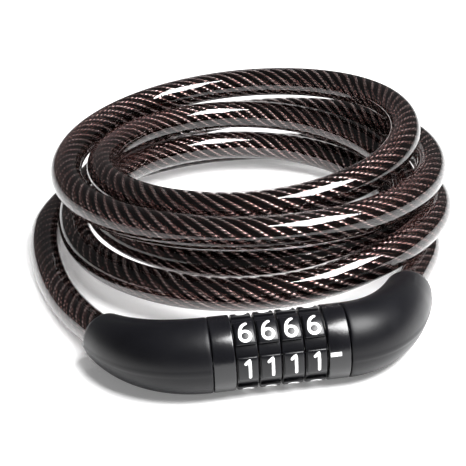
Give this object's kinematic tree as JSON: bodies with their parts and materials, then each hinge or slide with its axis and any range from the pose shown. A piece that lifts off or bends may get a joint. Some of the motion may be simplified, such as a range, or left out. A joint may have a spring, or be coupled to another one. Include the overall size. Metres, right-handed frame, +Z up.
{
  "type": "cable lock",
  "caption": "Combination cable lock for a bicycle: a round barrel of number dials between two elbow caps, closed on a self-coiling steel cable.",
  "frame": {"origin": "on the surface the lock lies on, under the middle of the barrel", "axes": "+X along the barrel from the plug end to the fixed end, +Y from the barrel to the coil behind it, +Z up"},
  "size_m": [0.1738, 0.207, 0.0485],
  "materials": {
    "cap_black": "fine moulded texture",
    "ring_black": "glossy moulded",
    "dial_black": "glossy moulded",
    "mark_white": "moulded",
    "core_steel": "turned",
    "spring_steel": "stamped",
    "code_brass": "turned",
    "rope_steel": "stranded wire",
    "cable_sheath": "clear extruded sleeve"
  },
  "bodies": {
    "lock_body": {"core_tube": "core_steel", "left_ring": "ring_black", "right_ring": "ring_black", "index_mark": "mark_white", "left_washer": "spring_steel", "right_washer": "spring_steel", "retaining_clip": "spring_steel", "detent_strip": "spring_steel", "anchor": "core_steel", "anchor_pin": "core_steel", "fixed_ferrule": "core_steel", "fixed_rope_end": "rope_steel", "fixed_cap": "cap_black", "cable_coil": "cable_sheath", "cable_fixed_tail": "cable_sheath"},
    "plug": {"plug_pin": "core_steel", "plug_cross_pin": "core_steel", "plug_ferrule": "core_steel", "plug_rope_end": "rope_steel", "plug_cap": "cap_black", "cable_plug_tail": "cable_sheath"},
    "dial_1": {"dial_1": "dial_black", "code_ring_1": "code_brass"},
    "dial_2": {"dial_2": "dial_black", "code_ring_2": "code_brass"},
    "dial_3": {"dial_3": "dial_black", "code_ring_3": "code_brass"},
    "dial_4": {"dial_4": "dial_black", "code_ring_4": "code_brass"}
  },
  "joints": [
    {"name": "plug_slide", "type": "slide", "parent": "lock_body", "child": "plug", "axis": [-1, 0, 0], "range_m": [0, 0.036]},
    {"name": "dial_1_spin", "type": "hinge", "parent": "lock_body", "child": "dial_1", "pos_m": [-0.0108, 0, 0.012], "axis": [1, 0, 0], "continuous": true},
    {"name": "dial_2_spin", "type": "hinge", "parent": "lock_body", "child": "dial_2", "pos_m": [-0.0036, 0, 0.012], "axis": [1, 0, 0], "continuous": true},
    {"name": "dial_3_spin", "type": "hinge", "parent": "lock_body", "child": "dial_3", "pos_m": [0.0036, 0, 0.012], "axis": [1, 0, 0], "continuous": true},
    {"name": "dial_4_spin", "type": "hinge", "parent": "lock_body", "child": "dial_4", "pos_m": [0.0108, 0, 0.012], "axis": [1, 0, 0], "continuous": true}
  ]
}
